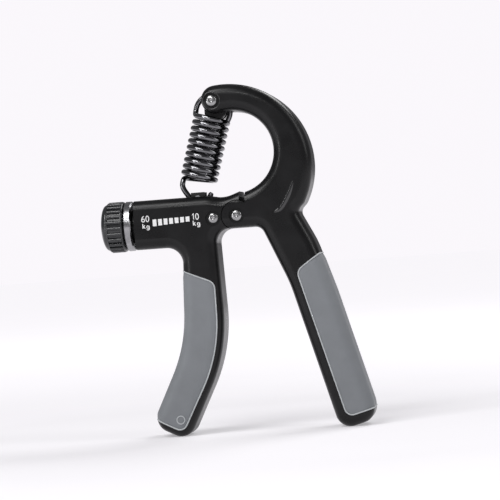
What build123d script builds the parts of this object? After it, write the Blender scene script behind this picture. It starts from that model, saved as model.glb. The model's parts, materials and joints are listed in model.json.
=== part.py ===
from build123d import *
import math
import os

# Adjustable hand grip strengthener, standing on its two handle ends. +X runs from the
# knob to the palm handle, +Y from the front face to the back face, +Z up. The outlines
# are drawn about the main pivot; everything is moved at the end so that the origin is
# the middle of the bottom of the whole object. Sizes in mm.

# ---- arms ----
ARM_HALF = 10.0             # half the thickness of both arms
FACE_ROUND = 4.2            # rounding between the flat faces and the edges
FOOT_DROP = 87.3            # pivot axis to the level that the handle ends stand on
HANDLE_WIDTH = 16.0         # width of each handle, seen from the front
FOOT_ROUND = 6.0            # corner radius of the handle ends
POCKET_WALL = 3.0           # plastic round the hollow inside each handle
# ---- hook arm ----
HOOK_OUT_X = -2.2           # centre of the outside of the hook
HOOK_OUT_Z = 19.4
HOOK_OUT_R = 33.7
HOOK_IN_X = -0.3            # centre of the inside of the hook
HOOK_IN_Z = 25.5
HOOK_IN_R = 16.7
TIP_X = -5.8                # middle of the rounded tip
HOOK_END_DEG = -29.0        # where the outside leaves the circle for the thumb notch
PALM_TILT = 15.1            # slant of the palm handle, degrees
PALM_EDGE_X = 32.5          # a point on the straight inner edge of the palm handle
PALM_EDGE_Z = -77.4
ARCH_Z = -5.0               # underside of both arms at the pivot
# ---- finger arm and its screw housing ----
FINGER_TILT = 27.0          # slant of the lower half of the finger handle, degrees
FINGER_EDGE_X = -21.8       # a point on the straight lower inner edge
FINGER_EDGE_Z = -80.6
SCREW_Z = -1.15             # screw axis, level with X
HOUSING_HEIGHT = 19.8
HOUSING_END_X = -41.8
# ---- pivot ----
CHEEK_R = 6.0               # round outer cheeks of the hook arm
CHEEK_GAP = 0.3             # seam round a cheek
TONGUE_R = 7.6              # round tongue of the finger arm between the cheeks
TONGUE_HALF = 5.0
RUN_GAP = 0.15              # side clearance of parts that turn past each other
STOP_R = 10.2               # stop tooth of the tongue
STOP_DEG = (-25.0, 0.0)
CLOSE_DEG = 30.0            # travel of the finger arm
PIVOT_PIN_R = 1.8
BUSH_R = 3.0
LUG_HALF = 5.0              # the lug under the hook's tip, inside the coil
FIT = 0.05                  # radial clearance of a running fit
RIVET_HEAD_R = 2.1
HEAD_RECESS_R = 3.1
HEAD_RECESS = 0.6
RIVET_X = -9.5              # second rivet, which holds the halves of the housing
RIVET_Z = -0.4
RIVET_R = 1.6
# ---- spring and its anchors ----
ANCHOR_X = -6.9
ANCHOR_Z = 46.6
ANCHOR_R = 1.9
WIRE_R = 1.1
LEG_R = WIRE_R - 0.03       # straight stretches between the coil and its loops
COIL_R = 6.6                # middle of the wire
COIL_TURNS = 10
COIL_PITCH = 2.6
COIL_START = 7.2            # slider pin to the middle of the lowest turn, along the spring
UPPER_LOOP_R = 7.0
UPPER_LOOP_DEG = (-30, 180)
LOWER_LOOP_R = 5.9
LOWER_LOOP_DEG = (180, 345)
WIRE_SLOT_HALF = 1.7        # half width of the slots that the loops lie in
# ---- slider ----
SLIDER_PIN_X = -16.0        # at the lightest setting
SLIDER_PIN_Z = 8.0
SLIDER_PIN_R = 1.3
SLIDER_TRAVEL = 18.0
SLIDER_LENGTH = 5.4
SLIDER_TOP = 10.5
SLIDER_HALF = 4.7
SLIDER_BODY_TOP = 3.1       # top of the slider's wide lower body
SLIDER_DROP = 4.75          # screw axis to the underside of the slider
FORK_HALF = 3.9
FORK_GAP = 1.7
FORK_FLOOR = 3.5
NUT_R = 3.9
SLIDE_GAP = 0.1
CHANNEL_WALL = 1.0
CHANNEL_TOP = 3.3
CAVITY_X = (HOUSING_END_X + 1.2, SLIDER_PIN_X + SLIDER_LENGTH / 2 + 0.3)
SLOT_X = (SLIDER_PIN_X - SLIDER_TRAVEL - 5.0, CAVITY_X[1])
SLOT_HALF = FORK_HALF + 0.25
HOOK_SLOT_X = -8.2          # the slot's narrow end, which lets the spring's hook through
# ---- screw, knob and collar ----
SCREW_R = 3.0
JOURNAL_R = 1.5
NECK_BUSH_R = 4.5
END_BUSH = 1.5              # length of the bush at the screw's far end
FLANGE_R = 4.2
FLANGE = 1.0
SPIGOT_R = 6.5
COLLAR_R = 10.1
COLLAR_X = (-46.4, -43.3)
COLLAR_RIM = 1.3
WASHER_R = 7.0
WASHER = 0.4
WASHER_GAP = 0.05
KNOB_R = 10.35
KNOB_LENGTH = 6.2
KNOB_SHOULDER = 9.3         # radius where the dome cap begins
DOME_HEIGHT = 2.9
DOME_MIDDLE = (0.28, 0.53)  # a point half way round the dome, in parts of its height and radius
KNOB_WEB = 3.6              # thickness of the knob behind its screw's head
KNOB_BORE_R = 4.9
STUB_R = 2.2                # end of the lead screw inside the knob
STUB_FLAT_HALF = 1.7
KNOB_SCREW_R = 1.25
KNOB_SCREW_HEAD_R = 2.7
# ---- grips and case screws ----
PAD_WALL = 1.8
FINGER_PAD_BORDER = 3.0
PALM_PAD_BORDER = 4.5
CASE_SCREW_R = 1.4
CASE_SCREW_HEAD_R = 2.4
CASE_SCREW_HEAD = 1.8
CASE_BOSS_R = 3.4

FRONT, BACK = 1, -1


# ---- drawing helpers: outlines are drawn as (x, z) and stood up in the XZ plane ----
def rounded_path(corners, closed=False):
    """Edges through the corners (x, z, radius), with a tangent arc at each corner."""
    count = len(corners)
    ends = []
    for i, (x, z, radius) in enumerate(corners):
        here = Vector(x, z)
        if radius == 0 or (not closed and i in (0, count - 1)):
            ends.append((here, None, here))
            continue
        back = (Vector(*corners[i - 1][:2]) - here).normalized()
        ahead = (Vector(*corners[(i + 1) % count][:2]) - here).normalized()
        half = math.acos(max(-1, min(1, back.dot(ahead)))) / 2
        reach = radius / math.tan(half)
        middle = (back + ahead).normalized() * (radius / math.sin(half) - radius)
        ends.append((here + back * reach, here + middle, here + ahead * reach))
    edges = []
    for i in range(count):
        start, middle, end = ends[i]
        if middle is not None:
            edges.append(ThreePointArc(start, middle, end))
        if i < count - 1 or closed:
            edges.append(Line(end, ends[(i + 1) % count][0]))
    return edges


def area(edges):
    return make_face(Wire(edges))


def polygon(corners):
    return area(rounded_path(corners, closed=True))


def disc(x, z, radius):
    return Pos(x, z) * Circle(radius)


def slab(shape, near, far):
    """The outline from y = near to y = far."""
    return extrude(Plane.XZ.offset(-far) * shape, amount=far - near)


def rod(x, z, radius, near, far):
    """A round bar along Y."""
    return slab(disc(x, z, radius), near, far)


def turned(profile):
    """A solid turned about the screw axis from (x, radius) points."""
    points = [(x, SCREW_Z + radius) for x, radius in profile]
    face = Plane.XZ * make_face(Polyline(*points, close=True))
    return revolve(face, Axis((0, 0, SCREW_Z), (1, 0, 0)), 360)


def block(x0, x1, half_y, z0, z1):
    return Pos((x0 + x1) / 2, 0, (z0 + z1) / 2) * Box(x1 - x0, 2 * half_y, z1 - z0)


def side(solid, which):
    """The front or the back half of a solid."""
    return solid & (Pos(0, -which * FAR, 0) * Box(2 * FAR, 2 * FAR, 2 * FAR))


def along(tilt_deg):
    """Directions down a slanting handle and across it, for a handle leaning right."""
    t = math.radians(tilt_deg)
    return Vector(math.sin(t), -math.cos(t)), Vector(math.cos(t), math.sin(t))


def handle_end(edge_x, edge_z, tilt_deg, lean):
    """Inner and outer bottom corners of a handle whose round end stands on the floor."""
    down, across = along(tilt_deg)
    lift = (across.Y - down.Y - 1) * FOOT_ROUND
    inner_z = -FOOT_DROP - lift
    inner_x = edge_x + lean * (edge_z - inner_z) * math.tan(math.radians(tilt_deg))
    outer = (inner_x + lean * HANDLE_WIDTH * across.X, inner_z + HANDLE_WIDTH * across.Y)
    return (inner_x, inner_z), outer


def tip_round():
    """Middle height and radius of the tip circle that touches both hook circles."""
    low, high = HOOK_IN_Z + HOOK_IN_R, HOOK_OUT_Z + HOOK_OUT_R
    for _ in range(50):
        z = (low + high) / 2
        outside = HOOK_OUT_R - math.dist((TIP_X, z), (HOOK_OUT_X, HOOK_OUT_Z))
        inside = math.dist((TIP_X, z), (HOOK_IN_X, HOOK_IN_Z)) - HOOK_IN_R
        if outside > inside:
            low = z
        else:
            high = z
    return z, inside


def bearing(from_x, from_z, to_x, to_z):
    return math.degrees(math.atan2(to_z - from_z, to_x - from_x))


# ---- outlines of the two arms ----
PALM_IN, PALM_OUT = handle_end(PALM_EDGE_X, PALM_EDGE_Z, PALM_TILT, 1)
FINGER_IN, FINGER_OUT = handle_end(FINGER_EDGE_X, FINGER_EDGE_Z, FINGER_TILT, -1)
TIP_Z, TIP_R = tip_round()
HOUSING_TOP = SCREW_Z + HOUSING_HEIGHT / 2
HOUSING_BOTTOM = SCREW_Z - HOUSING_HEIGHT / 2
PALM_OUTER_RISE = 52.0      # length of the straight part of the palm handle's outer edge
BLANK_REACH = 12.0          # how far each blank runs past the pivot before it is trimmed
FAR = 200.0                 # well past the whole object, for cutting


def hook_outline():
    end = math.radians(HOOK_END_DEG)
    end_x = HOOK_OUT_X + HOOK_OUT_R * math.cos(end)
    end_z = HOOK_OUT_Z + HOOK_OUT_R * math.sin(end)
    bottom = HOOK_IN_Z - HOOK_IN_R
    lower = rounded_path([
        (end_x, end_z, 0),
        (24.4, 0.2, 3.0),
        (30.6, -12.3, 40),
        (PALM_OUT[0] - PALM_OUTER_RISE * math.tan(math.radians(PALM_TILT)), PALM_OUT[1] + PALM_OUTER_RISE, 60),
        (*PALM_OUT, FOOT_ROUND),
        (*PALM_IN, FOOT_ROUND),
        (19.2, -28.5, 60),
        (13.0, -13.9, 40),
        (9.2, ARCH_Z, 4.0),
        (-BLANK_REACH, ARCH_Z, 0),
        (-BLANK_REACH, bottom, 0),
        (HOOK_IN_X, bottom, 0),
    ])
    out = (HOOK_OUT_X, HOOK_OUT_Z)
    inner = (HOOK_IN_X, HOOK_IN_Z)
    tip = (TIP_X, TIP_Z)
    at_out = bearing(*out, *tip)
    at_in = bearing(*inner, *tip)
    outer_arc = CenterArc(out, HOOK_OUT_R, at_out, HOOK_END_DEG - at_out)
    inner_arc = CenterArc(inner, HOOK_IN_R, -90, at_in + 90)
    tip_arc = CenterArc(tip, TIP_R, at_in + 180, at_out - at_in - 180)
    return area([outer_arc, *lower, inner_arc, tip_arc])


def finger_outline():
    down, across = along(FINGER_TILT)
    return polygon([
        (HOUSING_END_X, HOUSING_TOP, 0),
        (-11.0, HOUSING_TOP, 12),
        (-5.0, HOUSING_TOP - 1.4, 12),
        (1.5, HOUSING_TOP + 0.9, 0),
        (BLANK_REACH, HOUSING_TOP + 0.9, 0),
        (BLANK_REACH, ARCH_Z, 0),
        (-9.2, ARCH_Z, 5.5),
        (-7.8, -53.5, 65),
        (*FINGER_IN, FOOT_ROUND),
        (*FINGER_OUT, FOOT_ROUND),
        (-24.9, -51.0, 60),
        (-23.2, HOUSING_BOTTOM, 6.5),
        (HOUSING_END_X, HOUSING_BOTTOM, 0),
    ])


def rounded_arm(outline, ends_x):
    """An arm from face to face, its long edges rounded but not its cut ends."""
    arm = slab(outline, -ARM_HALF, ARM_HALF)
    rims = [
        e
        for e in arm.edges()
        if abs(abs(e.center().Y) - ARM_HALF) < 1e-6
        and not any(abs(e.center().X - x) < 1e-3 for x in ends_x)
    ]
    return fillet(rims, FACE_ROUND)


def wedge(radius, from_deg, to_deg):
    """A slice of a disc about the pivot."""
    a, b = math.radians(from_deg), math.radians(to_deg)
    far = 2 * radius
    corners = [(0, 0, 0), (far * math.cos(a), far * math.sin(a), 0)]
    corners.append((far * math.cos(b), far * math.sin(b), 0))
    return disc(0, 0, radius) & polygon(corners)


def right_of(x, z0, z1):
    return polygon([(x, z0, 0), (90, z0, 0), (90, z1, 0), (x, z1, 0)])


# ---- blanks and the soft grips that wrap round their outer sides ----
HOOK_SHAPE = hook_outline()
FINGER_SHAPE = finger_outline()
CORE_HALF = ARM_HALF - PAD_WALL
POCKET_INSET = PAD_WALL + POCKET_WALL
POCKET_HALF = ARM_HALF - POCKET_INSET
RIB = 1.6                   # cross ribs inside the handles


def pad_area(inner, tilt_deg, lean, border, top_inner, top_outer, bend):
    """Where a grip covers a handle: inside the border and out past the outer edge."""
    down, across = along(tilt_deg)
    corner_x = inner[0] + lean * border * (across.X - down.X)
    corner_z = inner[1] + border * (across.Y - down.Y)
    far = 2 * HANDLE_WIDTH
    return polygon([
        (*top_outer, 0),
        (*top_inner, 3.5),
        *bend,
        (corner_x, corner_z, 3.0),
        (corner_x + lean * far * across.X, corner_z + far * across.Y, 0),
    ])


def soft_grip(blank, shape, cover, cut_ends):
    """A grip of constant wall, flush with the arm, and the core that it leaves."""
    inset = offset(shape, -PAD_WALL)
    core = slab(inset, -CORE_HALF, CORE_HALF)
    rims = [
        e
        for e in core.edges()
        if abs(abs(e.center().Y) - CORE_HALF) < 1e-6
        and not any(abs(e.center().X - x) < 1e-3 for x in cut_ends)
    ]
    core = fillet(rims, FACE_ROUND - PAD_WALL)
    return (blank & slab(cover, -2 * ARM_HALF, 2 * ARM_HALF)) - core


hook_blank = rounded_arm(HOOK_SHAPE, [-BLANK_REACH])
finger_blank = rounded_arm(FINGER_SHAPE, [HOUSING_END_X, BLANK_REACH])
palm_cover = pad_area(PALM_IN, PALM_TILT, 1, PALM_PAD_BORDER, (22.6, -23.8), (40.0, -12.0), [])
finger_cover = pad_area(
    FINGER_IN, FINGER_TILT, -1, FINGER_PAD_BORDER, (-10.9, -26.2), (-32.0, -17.2), [(-10.9, -54.3, 62)]
)
palm_pad = soft_grip(hook_blank, HOOK_SHAPE, palm_cover, [-BLANK_REACH + PAD_WALL])
finger_pad = soft_grip(
    finger_blank, FINGER_SHAPE, finger_cover, [HOUSING_END_X + PAD_WALL, BLANK_REACH - PAD_WALL]
)

# ---- case screws: (x, z, level of the surface that the head is sunk in) ----
HOOK_SCREWS = [(23.7, 21.0, ARM_HALF), (21.0, -7.0, ARM_HALF), (38.2, -68.0, CORE_HALF)]
FINGER_SCREWS = [(-14.8, -16.0, ARM_HALF), (-25.9, -71.0, CORE_HALF)]
SCREW_TIP_Y = -5.5
HEAD_SINK = 0.2             # screw heads lie this far under their surface


def case_screws(places):
    screws = []
    for x, z, level in places:
        top = level - HEAD_SINK
        screw = rod(x, z, CASE_SCREW_R, SCREW_TIP_Y, top - CASE_SCREW_HEAD)
        screw += rod(x, z, CASE_SCREW_HEAD_R, top - CASE_SCREW_HEAD, top)
        for wide, tall in ((0.7, 2.8), (2.8, 0.7)):
            screw -= Pos(x, top, z) * Box(wide, 2.0, tall)
        screws.append(screw)
    return screws


def case_screw_holes(places):
    holes = []
    for x, z, level in places:
        holes.append(rod(x, z, CASE_SCREW_R, SCREW_TIP_Y - 0.5, ARM_HALF))
        head_floor = level - HEAD_SINK - CASE_SCREW_HEAD
        holes.append(rod(x, z, CASE_SCREW_HEAD_R + 0.2, head_floor, ARM_HALF + 1))
    return holes


def handle_hollow(shape, top_z, rib_levels, screws):
    """The hollow inside a handle, less its cross ribs and screw bosses."""
    hollow = slab(offset(shape, -POCKET_INSET), -POCKET_HALF, POCKET_HALF)
    hollow &= block(-FAR, FAR, ARM_HALF, -FAR, top_z)
    for z in rib_levels:
        hollow -= block(-FAR, FAR, ARM_HALF, z - RIB / 2, z + RIB / 2)
    for x, z, _ in screws:
        hollow -= rod(x, z, CASE_BOSS_R, -ARM_HALF, ARM_HALF)
    return hollow


def rivet(x, z, radius, head_radius):
    """A rivet through both faces, with domed heads in shallow recesses."""
    floor = ARM_HALF - HEAD_RECESS
    head = 0.9
    body = rod(x, z, radius, -floor, floor)
    for which in (FRONT, BACK):
        near, far = (-floor - head, -floor) if which == FRONT else (floor, floor + head)
        cap = rod(x, z, head_radius, near, far)
        rim = cap.edges().filter_by(GeomType.CIRCLE).sort_by(Axis.Y)
        cap = fillet(rim[0] if which == FRONT else rim[-1], 0.7)
        body += cap
    return body


def rivet_holes(x, z, radius):
    floor = ARM_HALF - HEAD_RECESS
    holes = [rod(x, z, radius, -ARM_HALF, ARM_HALF)]
    for near, far in ((-ARM_HALF - 1, -floor), (floor, ARM_HALF + 1)):
        holes.append(rod(x, z, HEAD_RECESS_R, near, far))
    return holes


# ---- spring: a line from the slider pin to the anchor pin ----
SPRING_DX = ANCHOR_X - SLIDER_PIN_X
SPRING_DZ = ANCHOR_Z - SLIDER_PIN_Z
SPRING_LENGTH = math.hypot(SPRING_DX, SPRING_DZ)
SPRING_LEAN = math.degrees(math.atan2(SPRING_DX, SPRING_DZ))
UPPER_LOOP_S = SPRING_LENGTH - (UPPER_LOOP_R - WIRE_R - ANCHOR_R)
LOWER_LOOP_S = LOWER_LOOP_R - WIRE_R - SLIDER_PIN_R
COIL_END = COIL_START + COIL_TURNS * COIL_PITCH
LOOP_SLOT_R = UPPER_LOOP_R + WIRE_R + 0.5


def spring_place(shape):
    """Moves a shape drawn with the slider pin at the origin and the spring upright."""
    return Pos(SLIDER_PIN_X, 0, SLIDER_PIN_Z) * Rot(0, SPRING_LEAN, 0) * shape


def turns(first, count):
    """Left-hand turns that start and end at the knob side of the coil."""
    path = Helix(COIL_PITCH, count * COIL_PITCH, COIL_R, lefthand=True)
    start = Plane(path @ 0, z_dir=path % 0)
    coil = sweep(start * Circle(WIRE_R), path=path, is_frenet=True)
    return Pos(0, 0, COIL_START + first * COIL_PITCH) * Rot(0, 0, 180) * coil


def loop(radius, height, from_deg, to_deg):
    """An open loop in the plane of the arms; 0 degrees points away from the knob."""
    arc = CenterArc((0, 0), radius, from_deg, to_deg - from_deg)
    path = Plane((0, 0, height), x_dir=(1, 0, 0), z_dir=(0, -1, 0)) * arc
    start = Plane(path @ 0, z_dir=path % 0)
    return sweep(start * Circle(WIRE_R), path=path)


def leg(from_x, from_z, to_x, to_z):
    """A straight piece of wire with round ends."""
    length = math.dist((from_x, from_z), (to_x, to_z))
    lean = math.degrees(math.atan2(to_x - from_x, to_z - from_z))
    wire = Pos(0, 0, length / 2) * Cylinder(LEG_R, length)
    wire += Sphere(LEG_R) + Pos(0, 0, length) * Sphere(LEG_R)
    return Pos(from_x, 0, from_z) * Rot(0, lean, 0) * wire


LOWER_TURNS, MIDDLE_TURNS = 3, 4
UPPER_TURNS = COIL_TURNS - LOWER_TURNS - MIDDLE_TURNS
spring_lower = turns(0, LOWER_TURNS) + loop(LOWER_LOOP_R, LOWER_LOOP_S, *LOWER_LOOP_DEG)
spring_lower += leg(-COIL_R, COIL_START, -LOWER_LOOP_R, LOWER_LOOP_S)
spring_middle = turns(LOWER_TURNS, MIDDLE_TURNS)
spring_upper = turns(LOWER_TURNS + MIDDLE_TURNS, UPPER_TURNS)
spring_upper += loop(UPPER_LOOP_R, UPPER_LOOP_S, *UPPER_LOOP_DEG)
spring_upper += leg(-COIL_R, COIL_END, -UPPER_LOOP_R, UPPER_LOOP_S)

# ---- hook arm: cheeks outside, a round slot between them for the tongue ----
HOOK_START_X = 3.7          # top end of the hook, past the gap over the pivot
LIP_X = 1.4                 # end of the finger arm's lip
everywhere = 3 * ARM_HALF
hook_side = right_of(HOOK_START_X, 0, 80) + right_of(CHEEK_R / 3, -100, 0)
hook_side += right_of(-BLANK_REACH, HOOK_IN_Z - HOOK_IN_R / 2, 80)
hook_body = hook_blank & slab(hook_side + disc(0, 0, CHEEK_R), -everywhere, everywhere)
slot_half = TONGUE_HALF + RUN_GAP
slot_r = TONGUE_R + 0.5
tooth_room = wedge(STOP_R + 0.4, STOP_DEG[0] - 0.8, STOP_DEG[1] + CLOSE_DEG + 2)
hook_body -= slab(disc(0, 0, slot_r) + tooth_room, -slot_half, slot_half)
lug = polygon([
    (TIP_X - 4.8, TIP_Z, 0),
    (TIP_X - 4.8, HOOK_IN_Z + 14.0, 2.5),
    (TIP_X + 2.2, HOOK_IN_Z + 14.0, 2.5),
    (TIP_X + 5.0, TIP_Z - 4.0, 0),
    (TIP_X + 5.0, TIP_Z, 0),
])
hook_body += slab(lug, -LUG_HALF, LUG_HALF)
loop_x = SLIDER_PIN_X + UPPER_LOOP_S * math.sin(math.radians(SPRING_LEAN))
loop_z = SLIDER_PIN_Z + UPPER_LOOP_S * math.cos(math.radians(SPRING_LEAN))
tip_slot = disc(loop_x, loop_z, LOOP_SLOT_R)
tip_slot += polygon([
    (loop_x - 20, loop_z, 0),
    (loop_x - 20, loop_z - 20, 0),
    (TIP_X + 5.0, loop_z - 20, 0),
    (loop_x + LOOP_SLOT_R, loop_z, 0),
])
hook_body -= slab(tip_slot, -WIRE_SLOT_HALF, WIRE_SLOT_HALF)
hook_body -= palm_pad
hook_body -= handle_hollow(HOOK_SHAPE, -18, (-34, -52), HOOK_SCREWS)
for hole in (
    *rivet_holes(0, 0, PIVOT_PIN_R),
    *rivet_holes(ANCHOR_X, ANCHOR_Z, ANCHOR_R),
    *case_screw_holes(HOOK_SCREWS),
):
    hook_body -= hole

# ---- finger arm: screw housing, tongue and handle ----
finger_body = finger_blank - slab(right_of(LIP_X, -40, 40), -everywhere, everywhere)
cheek_room = disc(0, 0, CHEEK_R + CHEEK_GAP)
finger_body -= slab(cheek_room, TONGUE_HALF, everywhere)
finger_body -= slab(cheek_room, -everywhere, -TONGUE_HALF)
tongue = disc(0, 0, TONGUE_R) + wedge(STOP_R, *STOP_DEG)
tongue &= right_of(-TONGUE_R, ARCH_Z, 40)
finger_body += slab(tongue, -TONGUE_HALF, TONGUE_HALF)
finger_body += turned([
    (COLLAR_X[0], 0), (COLLAR_X[0], SPIGOT_R), (HOUSING_END_X, SPIGOT_R), (HOUSING_END_X, 0)
])
channel_half = SLIDER_HALF + SLIDE_GAP + CHANNEL_WALL
channel_floor = SCREW_Z - SLIDER_DROP - SLIDE_GAP - CHANNEL_WALL
CHANNEL_START = CAVITY_X[0] + FLANGE + 0.3
finger_body -= block(*CAVITY_X, channel_half, channel_floor, CHANNEL_TOP)
finger_body -= block(*SLOT_X, SLOT_HALF, CHANNEL_TOP, FAR)
finger_body -= block(CAVITY_X[1], HOOK_SLOT_X, WIRE_SLOT_HALF, CHANNEL_TOP, FAR)
finger_body -= turned([
    (COLLAR_X[0] - 1, 0), (COLLAR_X[0] - 1, NECK_BUSH_R), (CAVITY_X[0], NECK_BUSH_R), (CAVITY_X[0], 0)
])
finger_body -= turned([
    (CAVITY_X[1], 0), (CAVITY_X[1], BUSH_R), (CAVITY_X[1] + END_BUSH, BUSH_R), (CAVITY_X[1] + END_BUSH, 0)
])
finger_body -= finger_pad
finger_body -= handle_hollow(FINGER_SHAPE, -22, (-40, -57), FINGER_SCREWS)
finger_body -= rod(0, 0, BUSH_R, -everywhere, everywhere)
for hole in (*rivet_holes(RIVET_X, RIVET_Z, RIVET_R), *case_screw_holes(FINGER_SCREWS)):
    finger_body -= hole

bush_half = TONGUE_HALF + RUN_GAP / 2
pivot_bush = rod(0, 0, BUSH_R, -bush_half, bush_half)
pivot_bush -= rod(0, 0, PIVOT_PIN_R + FIT, -everywhere, everywhere)
guide_channel = block(CHANNEL_START, CAVITY_X[1], channel_half, channel_floor, CHANNEL_TOP)
guide_channel -= block(
    CHANNEL_START - 1, CAVITY_X[1] + 1, channel_half - CHANNEL_WALL, channel_floor + CHANNEL_WALL, FAR
)

# ---- collar, bushes and washer about the screw ----
screw_neck_bush = turned([
    (COLLAR_X[0], SCREW_R + FIT), (COLLAR_X[0], NECK_BUSH_R),
    (CAVITY_X[0], NECK_BUSH_R), (CAVITY_X[0], SCREW_R + FIT),
])
screw_end_bush = turned([
    (CAVITY_X[1], JOURNAL_R + FIT), (CAVITY_X[1], BUSH_R),
    (CAVITY_X[1] + END_BUSH, BUSH_R), (CAVITY_X[1] + END_BUSH, JOURNAL_R + FIT),
])
end_collar = turned([
    (COLLAR_X[0], SPIGOT_R), (COLLAR_X[0], COLLAR_R - 0.5), (COLLAR_X[0] + 0.5, COLLAR_R),
    (COLLAR_X[1] - 0.5, COLLAR_R), (COLLAR_X[1], COLLAR_R - 0.5), (COLLAR_X[1], COLLAR_R - COLLAR_RIM),
    (COLLAR_X[0] + COLLAR_RIM, COLLAR_R - COLLAR_RIM), (COLLAR_X[0] + COLLAR_RIM, SPIGOT_R),
])
WASHER_X = COLLAR_X[0] - WASHER
thrust_washer = turned([
    (WASHER_X, SCREW_R + 0.2), (WASHER_X, WASHER_R), (COLLAR_X[0], WASHER_R), (COLLAR_X[0], SCREW_R + 0.2)
])

# ---- lead screw and knob ----
KNOB_X = WASHER_X - WASHER_GAP
KNOB_WEB_X = KNOB_X - KNOB_WEB
BARREL_X = KNOB_X - KNOB_LENGTH
flange_x = CAVITY_X[0] + SLIDE_GAP / 2
journal_x = CAVITY_X[1] - 0.2
lead_screw = turned([
    (KNOB_WEB_X + 0.1, KNOB_SCREW_R), (KNOB_WEB_X + 0.1, STUB_R), (KNOB_X - 0.1, STUB_R),
    (KNOB_X - 0.1, SCREW_R), (flange_x, SCREW_R), (flange_x, FLANGE_R), (flange_x + FLANGE, FLANGE_R),
    (flange_x + FLANGE, SCREW_R), (journal_x, SCREW_R), (journal_x, JOURNAL_R),
    (CAVITY_X[1] + END_BUSH - 0.1, JOURNAL_R), (CAVITY_X[1] + END_BUSH - 0.1, 0),
    (KNOB_X + 5.0, 0), (KNOB_X + 5.0, KNOB_SCREW_R),
])
for which in (FRONT, BACK):
    flat = block(KNOB_WEB_X, KNOB_X - 0.1, SCREW_R, SCREW_Z - SCREW_R, SCREW_Z + SCREW_R)
    lead_screw -= Pos(0, -which * (STUB_FLAT_HALF + SCREW_R), 0) * flat
knob = turned([
    (KNOB_X, SCREW_R), (KNOB_X, KNOB_R - 0.5), (KNOB_X - 0.5, KNOB_R),
    (BARREL_X + 1.4, KNOB_R), (BARREL_X, KNOB_SHOULDER), (BARREL_X, KNOB_BORE_R),
    (KNOB_WEB_X, KNOB_BORE_R), (KNOB_WEB_X, KNOB_SCREW_R + 0.1),
    (KNOB_X - 0.1, KNOB_SCREW_R + 0.1), (KNOB_X - 0.1, SCREW_R),
])
stub_hole = turned([(KNOB_WEB_X - 1, 0), (KNOB_WEB_X - 1, STUB_R), (KNOB_X, STUB_R), (KNOB_X, 0)])
knob -= stub_hole & block(KNOB_WEB_X - 1, KNOB_X, STUB_FLAT_HALF, SCREW_Z - STUB_R, SCREW_Z + STUB_R)
knob_screw = turned([
    (KNOB_X + 4.0, 0), (KNOB_X + 4.0, KNOB_SCREW_R), (KNOB_WEB_X, KNOB_SCREW_R),
    (KNOB_WEB_X, KNOB_SCREW_HEAD_R), (KNOB_WEB_X - 1.4, KNOB_SCREW_HEAD_R), (KNOB_WEB_X - 1.4, 0),
])
DOME_X = BARREL_X - DOME_HEIGHT
dome_middle = (DOME_X + DOME_MIDDLE[0] * DOME_HEIGHT, SCREW_Z + DOME_MIDDLE[1] * KNOB_SHOULDER)
dome_face = make_face([
    ThreePointArc((DOME_X, SCREW_Z), dome_middle, (BARREL_X, SCREW_Z + KNOB_SHOULDER)),
    Line((BARREL_X, SCREW_Z + KNOB_SHOULDER), (BARREL_X, SCREW_Z + KNOB_BORE_R)),
    Line((BARREL_X, SCREW_Z + KNOB_BORE_R), (BARREL_X + 0.8, SCREW_Z + KNOB_BORE_R)),
    Line((BARREL_X + 0.8, SCREW_Z + KNOB_BORE_R), (BARREL_X + 0.8, SCREW_Z)),
    Line((BARREL_X + 0.8, SCREW_Z), (DOME_X, SCREW_Z)),
])
knob_cap = revolve(Plane.XZ * dome_face, Axis((0, 0, SCREW_Z), (1, 0, 0)), 360)

# ---- slider: a plastic block on a round nut, with a fork that holds the spring's hook ----
slider_x = (SLIDER_PIN_X - SLIDER_LENGTH / 2, SLIDER_PIN_X + SLIDER_LENGTH / 2)
slider_block = block(*slider_x, SLIDER_HALF, SCREW_Z - SLIDER_DROP, SLIDER_BODY_TOP)
slider_block += block(*slider_x, FORK_HALF, 0, SLIDER_TOP)
slider_block -= block(slider_x[0] - 1, slider_x[1] + 1, FORK_GAP, FORK_FLOOR, FAR)
slider_block -= rod(SLIDER_PIN_X, SLIDER_PIN_Z, SLIDER_PIN_R, -everywhere, everywhere)
slider_block -= turned([(slider_x[0] - 1, 0), (slider_x[0] - 1, NUT_R), (slider_x[1] + 1, NUT_R), (slider_x[1] + 1, 0)])
slider_nut = turned([
    (slider_x[0], SCREW_R + FIT), (slider_x[0], NUT_R), (slider_x[1], NUT_R), (slider_x[1], SCREW_R + FIT)
])
slider_pin = rod(SLIDER_PIN_X, SLIDER_PIN_Z, SLIDER_PIN_R, -FORK_HALF, FORK_HALF)

# ---- the pieces ----
PARTS = {
    "hook_arm_front": side(hook_body, FRONT),
    "hook_arm_back": side(hook_body, BACK),
    "palm_pad": palm_pad,
    "hook_case_screws": case_screws(HOOK_SCREWS),
    "spring_anchor_pin": rivet(ANCHOR_X, ANCHOR_Z, ANCHOR_R, RIVET_HEAD_R),
    "pivot_pin": rivet(0, 0, PIVOT_PIN_R, RIVET_HEAD_R),
    "finger_arm_front": side(finger_body, FRONT),
    "finger_arm_back": side(finger_body, BACK),
    "finger_pad": finger_pad,
    "finger_case_screws": case_screws(FINGER_SCREWS),
    "housing_rivet": rivet(RIVET_X, RIVET_Z, RIVET_R, RIVET_HEAD_R - 0.2),
    "pivot_bush": pivot_bush,
    "guide_channel": guide_channel,
    "screw_neck_bush": screw_neck_bush,
    "screw_end_bush": screw_end_bush,
    "end_collar": end_collar,
    "thrust_washer": thrust_washer,
    "lead_screw": lead_screw,
    "knob": knob,
    "knob_cap": knob_cap,
    "knob_screw": knob_screw,
    "slider_block": slider_block,
    "slider_nut": slider_nut,
    "slider_pin": slider_pin,
    "spring_upper_turns": spring_place(spring_upper),
    "spring_middle_turns": spring_place(spring_middle),
    "spring_lower_turns": spring_place(spring_lower),
}

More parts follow.
